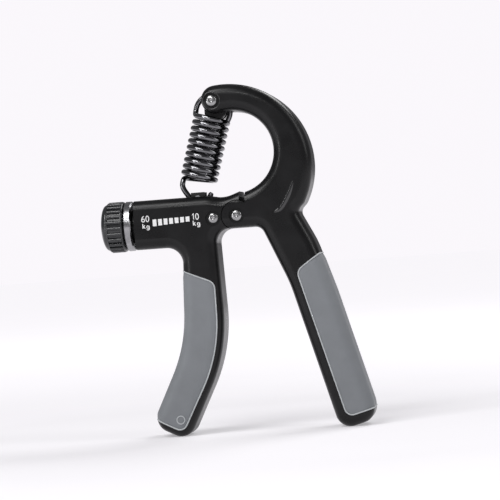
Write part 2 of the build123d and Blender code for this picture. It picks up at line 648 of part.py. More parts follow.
# ---- origin: the middle of the bottom of the whole object ----
loose = []
for shape in PARTS.values():
    loose.extend(shape if isinstance(shape, list) else [shape])
box = Compound(children=loose).bounding_box()
PIVOT = (-(box.min.X + box.max.X) / 2, -(box.min.Y + box.max.Y) / 2, -box.min.Z)
print("pivot at", [round(v, 4) for v in PIVOT], "size", [round(v, 3) for v in box.size])
os.makedirs("parts", exist_ok=True)
for name, shape in PARTS.items():
    solids = shape if isinstance(shape, list) else shape.solids()
    export_step(Compound(children=[Pos(*PIVOT) * s for s in solids]), f"parts/{name}.step")
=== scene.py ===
import json
import math

import bmesh
import bpy
from mathutils import Matrix, Vector
from mathutils.bvhtree import BVHTree
from mathutils.kdtree import KDTree


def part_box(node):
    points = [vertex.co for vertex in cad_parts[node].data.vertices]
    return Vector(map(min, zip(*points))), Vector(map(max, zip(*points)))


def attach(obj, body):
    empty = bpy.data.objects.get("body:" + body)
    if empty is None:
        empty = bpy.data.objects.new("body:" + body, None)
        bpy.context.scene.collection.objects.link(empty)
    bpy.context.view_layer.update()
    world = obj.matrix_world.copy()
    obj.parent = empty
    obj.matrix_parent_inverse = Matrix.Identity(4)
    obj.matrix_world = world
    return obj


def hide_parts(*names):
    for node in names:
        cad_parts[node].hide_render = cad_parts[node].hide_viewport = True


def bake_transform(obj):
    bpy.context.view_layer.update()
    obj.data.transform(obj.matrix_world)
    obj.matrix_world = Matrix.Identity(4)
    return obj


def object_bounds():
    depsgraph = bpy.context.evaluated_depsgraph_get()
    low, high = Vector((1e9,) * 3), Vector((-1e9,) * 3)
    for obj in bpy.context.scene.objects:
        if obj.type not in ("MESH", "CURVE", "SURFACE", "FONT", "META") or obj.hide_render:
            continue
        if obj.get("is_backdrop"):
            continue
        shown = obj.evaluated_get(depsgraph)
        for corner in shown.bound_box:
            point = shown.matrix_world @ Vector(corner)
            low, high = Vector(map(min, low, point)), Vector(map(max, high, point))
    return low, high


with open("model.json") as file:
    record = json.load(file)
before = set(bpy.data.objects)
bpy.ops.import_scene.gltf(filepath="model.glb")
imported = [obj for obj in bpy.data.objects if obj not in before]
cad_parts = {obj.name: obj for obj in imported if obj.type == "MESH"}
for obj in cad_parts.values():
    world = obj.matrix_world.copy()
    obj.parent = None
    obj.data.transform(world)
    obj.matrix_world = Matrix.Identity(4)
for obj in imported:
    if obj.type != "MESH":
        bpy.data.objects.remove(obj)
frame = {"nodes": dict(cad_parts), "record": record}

cad_low, cad_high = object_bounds()
pin_low, pin_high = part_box("pivot_pin")
PIVOT = (pin_low + pin_high) / 2      # everything below is given in mm from the pivot
MM = 0.001


def at(x, y, z):
    """A point in mm from the pivot, as metres in the frame."""
    return PIVOT + Vector((x, y, z)) * MM


# ---------------------------------------------------------------- finishes
def finish_nodes(name):
    mat = bpy.data.materials.new(name)
    mat.use_nodes = True
    nodes, links = mat.node_tree.nodes, mat.node_tree.links
    shader = nodes["Principled BSDF"]
    coord = nodes.new("ShaderNodeTexCoord")
    return mat, nodes, links, shader, coord


def grain(nodes, links, coord, scale, detail=3.0, stretch=(1, 1, 1)):
    """Noise on the piece's own coordinates; scale is in cycles per metre."""
    mapping = nodes.new("ShaderNodeMapping")
    mapping.inputs["Scale"].default_value = stretch
    links.new(coord.outputs["Object"], mapping.inputs["Vector"])
    noise = nodes.new("ShaderNodeTexNoise")
    noise.inputs["Scale"].default_value = scale
    noise.inputs["Detail"].default_value = detail
    links.new(mapping.outputs["Vector"], noise.inputs["Vector"])
    return noise.outputs["Fac"]


def spread(nodes, links, value, low, high, lo_in=0.3, hi_in=0.7):
    """Maps a grain to a range of values."""
    node = nodes.new("ShaderNodeMapRange")
    node.inputs["From Min"].default_value = lo_in
    node.inputs["From Max"].default_value = hi_in
    node.inputs["To Min"].default_value = low
    node.inputs["To Max"].default_value = high
    links.new(value, node.inputs["Value"])
    return node.outputs["Result"]


def tint(nodes, links, value, dark, light):
    node = nodes.new("ShaderNodeMix")
    node.data_type = "RGBA"
    node.inputs["A"].default_value = (*dark, 1)
    node.inputs["B"].default_value = (*light, 1)
    links.new(value, node.inputs["Factor"])
    return node.outputs["Result"]


def bump(nodes, links, height, depth_mm, before=None):
    node = nodes.new("ShaderNodeBump")
    node.inputs["Strength"].default_value = 1.0
    node.inputs["Distance"].default_value = depth_mm * MM
    links.new(height, node.inputs["Height"])
    if before is not None:
        links.new(before, node.inputs["Normal"])
    return node.outputs["Normal"]


def moulded_plastic(name, dark, light, rough, grain_mm, grain_depth, parting=False, shine=0.27):
    """Satin plastic: fine spark-eroded grain, uneven gloss from handling, a mould parting line."""
    mat, nodes, links, shader, coord = finish_nodes(name)
    cloudy = grain(nodes, links, coord, 90, 4)
    fine = grain(nodes, links, coord, 1 / (grain_mm * MM), 2)
    links.new(spread(nodes, links, cloudy, rough[0], rough[1]), shader.inputs["Roughness"])
    colour = tint(nodes, links, spread(nodes, links, cloudy, 0, 1), dark, light)
    normal = bump(nodes, links, fine, grain_depth)
    if parting:
        split = nodes.new("ShaderNodeSeparateXYZ")
        links.new(coord.outputs["Object"], split.inputs["Vector"])
        size = nodes.new("ShaderNodeMath")
        size.operation = "ABSOLUTE"
        links.new(split.outputs["Y"], size.inputs[0])
        line = spread(nodes, links, size.outputs["Value"], 0.0, 1.0, 0.03 * MM, 0.14 * MM)
        normal = bump(nodes, links, line, 0.12, normal)
        shade = nodes.new("ShaderNodeMix")
        shade.data_type = "RGBA"
        shade.blend_type = "MULTIPLY"
        shade.inputs["Factor"].default_value = 1.0
        grey = nodes.new("ShaderNodeCombineColor")
        for channel in ("Red", "Green", "Blue"):
            links.new(spread(nodes, links, line, 0.25, 1.0, 0, 1), grey.inputs[channel])
        links.new(colour, shade.inputs["A"])
        links.new(grey.outputs["Color"], shade.inputs["B"])
        colour = shade.outputs["Result"]
    links.new(colour, shader.inputs["Base Color"])
    links.new(normal, shader.inputs["Normal"])
    shader.inputs["Specular IOR Level"].default_value = shine
    return mat


def elastomer(name, dark, light):
    """Soft matt grip: pebbled skin, faint mottling, a soft bloom at glancing angles."""
    mat, nodes, links, shader, coord = finish_nodes(name)
    cloudy = grain(nodes, links, coord, 140, 5)
    tone = tint(nodes, links, spread(nodes, links, cloudy, 0, 1), dark, light)
    links.new(tone, shader.inputs["Base Color"])
    links.new(spread(nodes, links, cloudy, 0.62, 0.5), shader.inputs["Roughness"])
    cells = nodes.new("ShaderNodeTexVoronoi")
    cells.feature = "SMOOTH_F1"
    cells.inputs["Scale"].default_value = 2600
    links.new(coord.outputs["Object"], cells.inputs["Vector"])
    normal = bump(nodes, links, cells.outputs["Distance"], 0.03)
    normal = bump(nodes, links, grain(nodes, links, coord, 5200, 2), 0.012, normal)
    links.new(normal, shader.inputs["Normal"])
    shader.inputs["Sheen Weight"].default_value = 0.12
    shader.inputs["Sheen Roughness"].default_value = 0.5
    return mat


def plated(name, dark, light, rough, streak=(1, 1, 1), depth=0.004):
    """Bright metal: tone and gloss vary a little, with fine working marks."""
    mat, nodes, links, shader, coord = finish_nodes(name)
    cloudy = grain(nodes, links, coord, 260, 4)
    marks = grain(nodes, links, coord, 1800, 3, streak)
    tone = tint(nodes, links, spread(nodes, links, cloudy, 0, 1), dark, light)
    links.new(tone, shader.inputs["Base Color"])
    links.new(spread(nodes, links, marks, rough[0], rough[1]), shader.inputs["Roughness"])
    links.new(bump(nodes, links, marks, depth), shader.inputs["Normal"])
    shader.inputs["Metallic"].default_value = 1.0
    return mat


def printed(name):
    """White pad-printed ink, slightly broken by the plastic's grain."""
    mat, nodes, links, shader, coord = finish_nodes(name)
    flecks = grain(nodes, links, coord, 5000, 2)
    tone = spread(nodes, links, flecks, 0, 1)
    links.new(tint(nodes, links, tone, (0.62, 0.62, 0.62), (0.83, 0.83, 0.83)), shader.inputs["Base Color"])
    links.new(bump(nodes, links, flecks, 0.006), shader.inputs["Normal"])
    shader.inputs["Roughness"].default_value = 0.55
    return mat


BLACK = moulded_plastic(
    "satin_black", (0.0035, 0.0035, 0.0038), (0.0065, 0.0065, 0.007), (0.25, 0.34), 0.35, 0.012, parting=True
)
KNOB = moulded_plastic(
    "knob_black", (0.013, 0.0135, 0.015), (0.019, 0.02, 0.022), (0.2, 0.28), 0.5, 0.005, shine=0.6
)
# Real gloss (lower roughness, more specular), and a base colour about twice as light as the satin black:
# painted highlight on the crease and boss rings.
POLISHED_AND_PAINTED_HIGHLIGHT = moulded_plastic(
    "polished_black_painted_highlight", (0.009, 0.009, 0.0095), (0.014, 0.014, 0.015), (0.14, 0.22), 0.5, 0.004, shine=0.8
)
NYLON = moulded_plastic("black_nylon", (0.012, 0.012, 0.012), (0.02, 0.02, 0.02), (0.42, 0.52), 0.5, 0.01)
GREY = elastomer("grey_grip", (0.166, 0.176, 0.188), (0.181, 0.192, 0.205))
CHROME = plated("collar_plate", (0.27, 0.27, 0.28), (0.4, 0.4, 0.41), (0.2, 0.32), (0.2, 3, 3), 0.008)
# Lip and ring mark are a much lighter grey than the grip: painted highlight along the raised edge.
LIP_PAINTED_HIGHLIGHT = elastomer("grip_lip_painted_highlight", (0.40, 0.42, 0.43), (0.46, 0.48, 0.49))
WIRE = plated("spring_plate", (0.13, 0.13, 0.137), (0.2, 0.2, 0.21), (0.1, 0.17))
RIVET = plated("rivet_nickel", (0.27, 0.27, 0.272), (0.37, 0.37, 0.372), (0.17, 0.26))
ZINC = plated("zinc_plate", (0.42, 0.43, 0.45), (0.55, 0.56, 0.58), (0.28, 0.42))
BRASS = plated("turned_brass", (0.6, 0.43, 0.18), (0.72, 0.54, 0.25), (0.22, 0.34))
INK = printed("white_ink")

SLOT_FINISH = {
    "arm_plastic": BLACK, "grip_elastomer": GREY, "bright_metal": CHROME, "spring_steel": WIRE,
    "zinc_steel": ZINC, "bearing_brass": BRASS, "knob_plastic": KNOB, "slider_plastic": NYLON,
}
NODE_SLOT = {s["node"]: s["material_slot"] for s in frame["record"]["subparts"]}
for node, shown in frame["nodes"].items():
    shown.data.materials.clear()
    shown.data.materials.append(SLOT_FINISH[NODE_SLOT[node]])


# ---------------------------------------------------------------- mesh helpers
def piece(name, verts, faces, finish, slot, body=None, smooth_deg=40):
    mesh = bpy.data.meshes.new(name)
    mesh.from_pydata([tuple(v) for v in verts], [], faces)
    mesh.validate()
    obj = bpy.data.objects.new(name, mesh)
    bpy.context.scene.collection.objects.link(obj)
    outward(mesh)
    dress(obj, finish, smooth_deg)
    if body:
        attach(obj, body)
    return obj


def outward(mesh):
    bm = bmesh.new()
    bm.from_mesh(mesh)
    bmesh.ops.remove_doubles(bm, verts=bm.verts, dist=1e-7)
    bmesh.ops.recalc_face_normals(bm, faces=bm.faces)
    bm.to_mesh(mesh)
    bm.free()


def dress(obj, finish, smooth_deg=40):
    obj.data.materials.clear()
    obj.data.materials.append(finish)
    for poly in obj.data.polygons:
        poly.use_smooth = True
        poly.material_index = 0
    obj.data.set_sharp_from_angle(angle=math.radians(smooth_deg))


def lathe(profile, steps=96, closed=True):
    """Turns (x, radius) points in mm round the screw axis. Points on the axis become poles."""
    verts, rings = [], []
    for x, r in profile:
        if r < 1e-6:
            rings.append([len(verts)])
            verts.append(at(x, 0, SCREW_Z))
        else:
            rings.append(range(len(verts), len(verts) + steps))
            for k in range(steps):
                a = 2 * math.pi * k / steps
                verts.append(at(x, r * math.cos(a), SCREW_Z + r * math.sin(a)))
    faces = []
    count = len(rings)
    for i in range(count if closed else count - 1):
        one, two = list(rings[i]), list(rings[(i + 1) % count])
        if len(one) == 1 and len(two) == 1:
            continue
        for k in range(steps):
            j = (k + 1) % steps
            ring = [one[k % len(one)], one[j % len(one)], two[j % len(two)], two[k % len(two)]]
            faces.append(list(dict.fromkeys(ring)))
    return verts, faces


def tube(path, radius, sides=14, closed=False, taper=None):
    """A round wire along a path of points in metres, with rounded ends."""
    count = len(path)
    tangents = []
    for i in range(count):
        before = path[(i - 1) % count] if closed or i > 0 else path[i]
        after = path[(i + 1) % count] if closed or i < count - 1 else path[i]
        tangents.append((after - before).normalized())
    side = tangents[0].orthogonal().normalized()
    rings = []
    for i in range(count):
        side = (side - tangents[i] * side.dot(tangents[i])).normalized()
        rings.append((path[i], tangents[i], side, radius * (taper(i / (count - 1)) if taper else 1)))
    if not closed:
        start, end = rings[0], rings[-1]
        caps = (0.97, 0.78, 0.45)
        for k, share in enumerate(caps):
            back = math.sqrt(1 - share * share)
            rings.insert(0, (start[0] - start[1] * start[3] * back, start[1], start[2], start[3] * share))
            rings.append((end[0] + end[1] * end[3] * back, end[1], end[2], end[3] * share))
    verts = []
    for centre, along, out, r in rings:
        across = along.cross(out)
        for k in range(sides):
            a = 2 * math.pi * k / sides
            verts.append(centre + (out * math.cos(a) + across * math.sin(a)) * r)
    faces = []
    total = len(rings)
    for i in range(total if closed else total - 1):
        for k in range(sides):
            j = (k + 1) % sides
            n = (i + 1) % total
            faces.append((i * sides + k, i * sides + j, n * sides + j, n * sides + k))
    if not closed:
        faces.append(tuple(range(sides)))
        faces.append(tuple((total - 1) * sides + k for k in range(sides)))
    return verts, faces


def join(*lumps):
    verts, faces = [], []
    for v, f in lumps:
        start = len(verts)
        verts.extend(v)
        faces.extend([tuple(i + start for i in face) for face in f])
    return verts, faces


# ---------------------------------------------------------------- geometry node helper
class Tree:
    """A small Geometry Nodes tree with named inputs, applied to a plain mesh."""

    def __init__(self, name):
        self.group = bpy.data.node_groups.new(name, "GeometryNodeTree")
        self.group.interface.new_socket("Geometry", in_out="INPUT", socket_type="NodeSocketGeometry")
        self.group.interface.new_socket("Geometry", in_out="OUTPUT", socket_type="NodeSocketGeometry")
        self.values = {}
        self.start = self.group.nodes.new("NodeGroupInput")
        self.end = self.group.nodes.new("NodeGroupOutput")

    def size(self, name, value, kind="NodeSocketFloat"):
        socket = self.group.interface.new_socket(name, in_out="INPUT", socket_type=kind)
        self.values[socket.identifier] = value
        return self.start.outputs[name]

    def add(self, kind, settings=None, **sockets):
        node = self.group.nodes.new("GeometryNode" + kind)
        for key, value in (settings or {}).items():
            setattr(node, key, value)
        for key, value in sockets.items():
            self.feed(node, key.replace("_", " "), value)
        return node

    def feed(self, node, key, value):
        socket = node.inputs[key]
        if isinstance(value, bpy.types.NodeSocket):
            self.group.links.new(value, socket)
        else:
            socket.default_value = value

    def apply(self, obj, geometry, finish):
        real = self.add("RealizeInstances")
        self.group.links.new(geometry, real.inputs["Geometry"])
        paint = self.add("SetMaterial", Material=finish)
        self.group.links.new(real.outputs["Geometry"], paint.inputs["Geometry"])
        self.group.links.new(paint.outputs["Geometry"], self.end.inputs["Geometry"])
        modifier = obj.modifiers.new("shape", "NODES")
        modifier.node_group = self.group
        for identifier, value in self.values.items():
            modifier[identifier] = value
        bpy.context.view_layer.update()
        graph = bpy.context.evaluated_depsgraph_get()
        made = bpy.data.meshes.new_from_object(obj.evaluated_get(graph))
        obj.modifiers.clear()
        obj.data = made
        return obj


# ---------------------------------------------------------------- knob
SCREW_Z = -1.15
KNOB_RIGHT, KNOB_LEFT = -46.9, -53.7   # the two ends of the barrel
FLOOR_OF_RIBS, DOME_RISE, DOME_EDGE = 9.35, 2.5, 9.3
barrel_verts, barrel_faces = lathe([
    (KNOB_RIGHT, 3.2), (KNOB_RIGHT, 9.75), (KNOB_RIGHT - 0.12, 10.0), (KNOB_RIGHT - 0.4, 10.12),
    (KNOB_RIGHT - 0.75, 10.1), (KNOB_RIGHT - 1.0, FLOOR_OF_RIBS), (KNOB_LEFT + 0.8, FLOOR_OF_RIBS),
    (KNOB_LEFT + 0.6, 10.05),
    (KNOB_LEFT + 0.3, 10.0), (KNOB_LEFT + 0.1, 9.85), (KNOB_LEFT, 9.6), (KNOB_LEFT, 3.2),
])
barrel = piece("knob_ribbed_barrel", barrel_verts, barrel_faces, KNOB, "knob_plastic")
ribs = Tree("knob_ribs")
ring = ribs.add(
    "MeshCircle", Vertices=ribs.size("Rib Count", 25, "NodeSocketInt"),
    Radius=ribs.size("Rib Ring Radius", 9.6 * MM),
)
rib = ribs.add(
    "MeshCylinder", Vertices=14, Radius=ribs.size("Rib Radius", 0.7 * MM),
    Depth=ribs.size("Rib Length", 5.5 * MM),
)
spots = ribs.add("InstanceOnPoints", Points=ring.outputs["Mesh"], Instance=rib.outputs["Mesh"])
middle = at((KNOB_RIGHT + KNOB_LEFT) / 2, 0, SCREW_Z)
turn = ribs.add(
    "Transform", Geometry=spots.outputs["Instances"], Rotation=(0, math.pi / 2, 0), Translation=tuple(middle)
)
both = ribs.add("JoinGeometry")
ribs.group.links.new(turn.outputs["Geometry"], both.inputs["Geometry"])
ribs.group.links.new(ribs.start.outputs["Geometry"], both.inputs["Geometry"])
ribs.apply(barrel, both.outputs["Geometry"], KNOB)
dress(barrel, KNOB, 45)
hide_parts("knob")
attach(barrel, "knob")

dome_profile = [
    (KNOB_LEFT + 0.3, 0), (KNOB_LEFT + 0.3, DOME_EDGE), (KNOB_LEFT, 9.5), (KNOB_LEFT - 0.35, 9.42),
]
DOME_STEPS = 14
for k in range(1, DOME_STEPS + 1):
    a = math.radians(90 * (1 - k / DOME_STEPS))
    dome_r = DOME_EDGE * math.sin(a) ** 0.9 if k < DOME_STEPS else 0
    dome_profile.append((KNOB_LEFT - 0.35 - DOME_RISE * math.cos(a) ** 0.85, dome_r))
piece("knob_dome_cap", *lathe(dome_profile, closed=False), KNOB, "knob_plastic", "knob", 50)
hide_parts("knob_cap")

# ---------------------------------------------------------------- lead screw
screw_low, screw_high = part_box("lead_screw")
SCREW_LEFT = (screw_low.x - PIVOT.x) / MM
SCREW_RIGHT = (screw_high.x - PIVOT.x) / MM
THREAD_FROM, THREAD_TO = -38.9, -13.9
shaft_verts, shaft_faces = lathe([
    (SCREW_LEFT, 0), (SCREW_LEFT, 2.1), (-46.95, 2.1), (-46.95, 3.0), (-40.55, 3.0), (-40.55, 4.1),
    (-40.45, 4.2), (-39.65, 4.2), (-39.55, 4.1), (-39.55, 2.55), (-13.6, 2.55), (-13.2, 2.2), (-13.2, 1.5),
    (SCREW_RIGHT, 1.5), (SCREW_RIGHT, 0),
], steps=48, closed=False)
shaft = piece("lead_screw_threaded", shaft_verts, shaft_faces, ZINC, "zinc_steel")
thread = Tree("screw_thread")
THREAD_PITCH, THREAD_R = 1.0, 2.62
path = thread.add(
    "CurveSpiral", Resolution=thread.size("Points Per Turn", 28, "NodeSocketInt"),
    Rotations=thread.size("Turns", (THREAD_TO - THREAD_FROM) / THREAD_PITCH),
    Start_Radius=THREAD_R * MM, End_Radius=THREAD_R * MM,
    Height=thread.size("Thread Length", (THREAD_TO - THREAD_FROM) * MM),
)
upright = thread.add("SetCurveNormal", {"mode": "Z_UP"}, Curve=path.outputs["Curve"])
crest = thread.add("CurvePrimitiveCircle", Resolution=6, Radius=thread.size("Crest Radius", 0.36 * MM))
ridge = thread.add(
    "CurveToMesh", Curve=upright.outputs["Curve"], Profile_Curve=crest.outputs["Curve"], Fill_Caps=True
)
lay = thread.add(
    "Transform", Geometry=ridge.outputs["Mesh"], Rotation=(0, math.pi / 2, 0),
    Translation=tuple(at(THREAD_FROM, 0, SCREW_Z)),
)
both = thread.add("JoinGeometry")
thread.group.links.new(lay.outputs["Geometry"], both.inputs["Geometry"])
thread.group.links.new(thread.start.outputs["Geometry"], both.inputs["Geometry"])
thread.apply(shaft, both.outputs["Geometry"], ZINC)
dress(shaft, ZINC, 35)
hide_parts("lead_screw")
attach(shaft, "knob")

# ---------------------------------------------------------------- spring wire
WIRE_R, COIL_R, COIL_TURNS, COIL_PITCH, COIL_START = 1.1, 6.6, 10, 2.6, 7.2
COIL_SKEW = 1.4                       # the coil's foot sits this far towards the knob of the spring's line
TIP = Vector((4.4, 0, 2.4))           # the lower hook's free end
SHOULDER = Vector((-7.7, 0, 4.9))     # where the lower hook bulges most towards the knob
FOOT = Vector((-16.0, 0, 8.0))        # the slider pin, at the lightest setting
TOP = Vector((-6.9, 0, 46.6))         # the pin at the tip of the hook
LENGTH = (TOP - FOOT).length
UP = (TOP - FOOT).normalized()
RIGHT = Vector((UP.z, 0, -UP.x))
UPPER_R, LOWER_R = 7.0, 3.4
UPPER_S, LOWER_S = LENGTH - (UPPER_R - WIRE_R - 1.9), 0.65
LEAD_IN = math.radians(40)


def along_spring(x, y, s):
    """A point beside the spring's line: x to its right, s up from the slider pin."""
    p = FOOT + RIGHT * x + UP * s
    return at(p.x, y, p.z)


def coil_point(phi):
    share = phi / (2 * math.pi * COIL_TURNS)
    skew = COIL_SKEW * (share - 1)
    rise = COIL_TURNS * COIL_PITCH * share
    return Vector((skew - COIL_R * math.cos(phi), COIL_R * math.sin(phi), COIL_START + rise))


def coil_way(phi):
    return (coil_point(phi + 0.01) - coil_point(phi)).normalized()


def bridge(p0, d0, p1, d1, pull, steps=14):
    """A smooth run between two ends."""
    a, b = p0 + d0 * pull, p1 - d1 * pull
    out = []
    for k in range(1, steps):
        t = k / steps
        out.append(p0 * (1 - t) ** 3 + a * 3 * t * (1 - t) ** 2 + b * 3 * t * t * (1 - t) + p1 * t ** 3)
    return out


def hook_arc(radius, middle, s, from_deg, to_deg, steps=36):
    out = []
    for k in range(steps + 1):
        a = math.radians(from_deg + (to_deg - from_deg) * k / steps)
        out.append(Vector((middle + radius * math.cos(a), 0, s + radius * math.sin(a))))
    return out


turn_end = 2 * math.pi * COIL_TURNS
half_way = turn_end / 2
STEP = math.radians(13)
bow = hook_arc(LOWER_R, -0.3, LOWER_S, 330, 212)
lower = [TIP] + bridge(TIP, Vector((-0.1, 0, -1)), bow[0], Vector((-0.5, 0, -0.87)), 1.2, 6) + bow
lower += bridge(bow[-1], Vector((-0.53, 0, 0.85)), SHOULDER, Vector((0, 0, 1)), 2.4) + [SHOULDER]
lower += bridge(SHOULDER, Vector((0, 0, 1)), coil_point(LEAD_IN), coil_way(LEAD_IN), 2.4)
steps = int((half_way - LEAD_IN) / STEP)
lower += [coil_point(LEAD_IN + (half_way - LEAD_IN) * k / steps) for k in range(steps + 1)]
upper = [coil_point(half_way + (half_way - LEAD_IN) * k / steps) for k in range(steps + 1)]
rim = hook_arc(UPPER_R, 0, UPPER_S, 180, -30)
upper += bridge(upper[-1], coil_way(turn_end - LEAD_IN), rim[0], Vector((0, 0, 1)), 2.4) + rim
wire_low = tube([along_spring(*p) for p in lower], WIRE_R * MM)
wire_high = tube([along_spring(*p) for p in upper], WIRE_R * MM)
low_half = piece("spring_lower_wire", *wire_low, WIRE, "spring_steel", smooth_deg=60)
high_half = piece("spring_upper_wire", *wire_high, WIRE, "spring_steel", smooth_deg=60)
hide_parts("spring_upper_turns", "spring_middle_turns")
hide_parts("spring_lower_turns")
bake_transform(high_half)
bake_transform(low_half)


# ---------------------------------------------------------------- rivets
def rivet(name, node, x, z, shank, head, body):
    """A rivet along Y: domed heads with the shallow dimple that the setting tool leaves."""
    reach, seat = 10.3, 9.45
    half = [(reach - 0.16, 0), (reach - 0.14, 0.25), (reach - 0.03, 0.5), (reach, 0.68)]
    for k in range(1, 11):
        a = math.radians(90 * k / 10)
        half.append((reach - 0.62 * (1 - math.cos(a)), 0.68 + (head - 0.68) * math.sin(a)))
    half += [(seat, head), (seat, shank)]
    profile = [(-y, r) for y, r in half] + [(y, r) for y, r in reversed(half)]
    steps = 48
    verts, rings = [], []
    for y, r in profile:
        if r < 1e-6:
            rings.append([len(verts)])
            verts.append(at(x, y, z))
            continue
        rings.append(list(range(len(verts), len(verts) + steps)))
        for k in range(steps):
            a = 2 * math.pi * k / steps
            verts.append(at(x + r * math.cos(a), y, z + r * math.sin(a)))
    faces = []
    for one, two in zip(rings, rings[1:]):
        for k in range(steps):
            j = (k + 1) % steps
            ring = [one[k % len(one)], one[j % len(one)], two[j % len(two)], two[k % len(two)]]
            faces.append(list(dict.fromkeys(ring)))
    made = piece(name, verts, faces, RIVET, "bright_metal", body, 50)
    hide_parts(node)


rivet("main_pivot_rivet", "pivot_pin", 0, 0, 1.8, 2.1, "hook_arm")
rivet("spring_anchor_rivet", "spring_anchor_pin", TOP.x, TOP.z, 1.9, 2.15, "hook_arm")
rivet("housing_side_rivet", "housing_rivet", -9.5, -0.4, 1.6, 2.0, "finger_arm")


# ---------------------------------------------------------------- soft grips
FACE_Y = -10.0                        # the front face of both arms
VOXEL, EDGE_BAND = 0.4, 2.6           # mesh size of a grip, and the band over which its crown rises


def edge_loops(bm):
    """Closed loops of sharp edges of a thin shell."""
    sharp = [e for e in bm.edges if len(e.link_faces) == 2 and e.calc_face_angle(0) > math.radians(50)]
    left = set(sharp)
    loops = []
    while left:
        first = left.pop()
        chain = [first.verts[0], first.verts[1]]
        while True:
            following = [e for e in chain[-1].link_edges if e in left]
            if not following:
                break
            left.discard(following[0])
            chain.append(following[0].other_vert(chain[-1]))
        loops.append([v.co.copy() for v in chain])
    return loops


def resample(points, step):
    """Even points round a closed loop, lightly smoothed."""
    points = points[:-1] if (points[0] - points[-1]).length < 1e-6 else points
    ring = points + [points[0]]
    out, carry = [], 0.0
    for a, b in zip(ring, ring[1:]):
        span = (b - a).length
        while carry < span:
            out.append(a.lerp(b, carry / span))
            carry += step
        carry -= span
    count = len(out)
    for _ in range(2):
        out = [(out[i - 1] + out[i] * 2 + out[(i + 1) % count]) / 4 for i in range(count)]
    return out


def soft_grip(name, node, body, crown_mm, marks=()):
    """The moulded grip: a crowned skin with soft edges and a fine raised lip round it; the lip and ring mark
    are painted a much lighter grey, a painted highlight along the edge.
    """
    source = frame["nodes"][node].data
    bm = bmesh.new()
    bm.from_mesh(source)
    bmesh.ops.remove_doubles(bm, verts=bm.verts, dist=1e-6)
    loops = [l for l in edge_loops(bm) if len(l) > 20]
    outer = max(loops, key=lambda l: max(p.y for p in l) - min(p.y for p in l) + 1e-3 * len(l) * MM)
    rim_points = resample(outer, VOXEL * MM)
    mesh = bpy.data.meshes.new(name)
    bm.to_mesh(mesh)
    bm.free()
    obj = bpy.data.objects.new(name, mesh)
    bpy.context.scene.collection.objects.link(obj)
    voxels = obj.modifiers.new("voxels", "REMESH")
    voxels.mode = "VOXEL"
    voxels.voxel_size = VOXEL * MM
    bpy.context.view_layer.update()
    graph = bpy.context.evaluated_depsgraph_get()
    skin = bpy.data.meshes.new_from_object(obj.evaluated_get(graph))
    obj.modifiers.clear()
    obj.data = skin
    near = KDTree(len(rim_points))
    for i, p in enumerate(rim_points):
        near.insert(p, i)
    near.balance()
    bm = bmesh.new()
    bm.from_mesh(skin)
    for _ in range(3):
        bmesh.ops.smooth_vert(
            bm, verts=bm.verts, factor=0.5, use_axis_x=True, use_axis_y=True, use_axis_z=True
        )
    bm.normal_update()
    arm = arm_tree(body)
    for v in bm.verts:
        away = near.find(v.co)[2]
        share = min(1.0, max(0.0, (away - 0.3 * MM) / (EDGE_BAND * MM)))
        share = share * share * (3 - 2 * share)
        hit = arm.ray_cast(v.co + v.normal * 0.05 * MM, v.normal, 4 * MM)
        if hit[0] is None and share > 0:
            v.co += v.normal * crown_mm * MM * share
    bm.to_mesh(skin)
    bm.free()
    lumps = [tube(rim_points, 0.28 * MM, sides=8, closed=True)]
    for centre, radius in marks:
        ring_path = []
        for k in range(48):
            a = 2 * math.pi * k / 48
            x, z = centre[0] + radius * math.cos(a), centre[1] + radius * math.sin(a)
            ring_path.append(at(x, FACE_Y - crown_mm * 0.8, z))
        lumps.append(tube(ring_path, 0.22 * MM, sides=8, closed=True))
    dress(obj, GREY, 60)
    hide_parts(node)
    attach(obj, body)
    # The lip and the ring mark are coloured light grey: painted highlight.
    piece(name + "_lip", *join(*lumps), LIP_PAINTED_HIGHLIGHT, "grip_elastomer", body, 60)
    return obj


def arm_tree(body):
    """The two halves of an arm as one tree for casting rays."""
    verts, faces = [], []
    for node in (body + "_front", body + "_back"):
        mesh = frame["nodes"][node].data
        start = len(verts)
        verts.extend(v.co.copy() for v in mesh.vertices)
        faces.extend(tuple(i + start for i in p.vertices) for p in mesh.polygons)
    return BVHTree.FromPolygons(verts, faces)


soft_grip("palm_grip_skin", "palm_pad", "hook_arm", 0.25)
soft_grip("finger_grip_skin", "finger_pad", "finger_arm", 0.25, [((-28.3, -80.4), 1.6)])

# ---------------------------------------------------------------- print on the housing
INK_TOP = 0.04


def stroke(points, width, level=0.0):
    """A flat ink line with mitred corners, a hair proud of the face; a ring if it ends where it starts."""
    marks = [Vector(p) for p in points]
    ring = (marks[0] - marks[-1]).length < 1e-6
    if ring:
        marks = marks[:-1]
    count = len(marks)
    left, right_side = [], []
    for i, mark in enumerate(marks):
        before = marks[i - 1] if ring or i > 0 else mark
        after = marks[(i + 1) % count] if ring or i < count - 1 else mark
        way_in = (mark - before).normalized() if before is not mark else (after - mark).normalized()
        way_out = (after - mark).normalized() if after is not mark else way_in
        middle = (way_in + way_out).normalized()
        reach = width / 2 / max(0.5, middle.dot(way_in))
        side = Vector((-middle.y, middle.x)) * reach
        left.append(mark + side)
        right_side.append(mark - side)
    verts = []
    for p, q in zip(left, right_side):
        for x, z in (p, q):
            verts += [at(x, FACE_Y - INK_TOP - level, z), at(x, FACE_Y + INK_TOP, z)]
    faces = []
    for i in range(count if ring else count - 1):
        m, n = 4 * i, 4 * ((i + 1) % count)
        faces += [(m, n, n + 2, m + 2), (m + 1, m + 3, n + 3, n + 1)]
        faces += [(m, m + 1, n + 1, n), (m + 2, n + 2, n + 3, m + 3)]
    if not ring:
        last = 4 * (count - 1)
        faces += [(0, 2, 3, 1), (last, last + 1, last + 3, last + 2)]
    return verts, faces


def oval(cx, cz, rx, rz, from_deg=0, to_deg=360, steps=14):
    out = []
    for k in range(steps + 1):
        a = math.radians(from_deg + (to_deg - from_deg) * k / steps)
        out.append((cx + rx * math.cos(a), cz + rz * math.sin(a)))
    return out


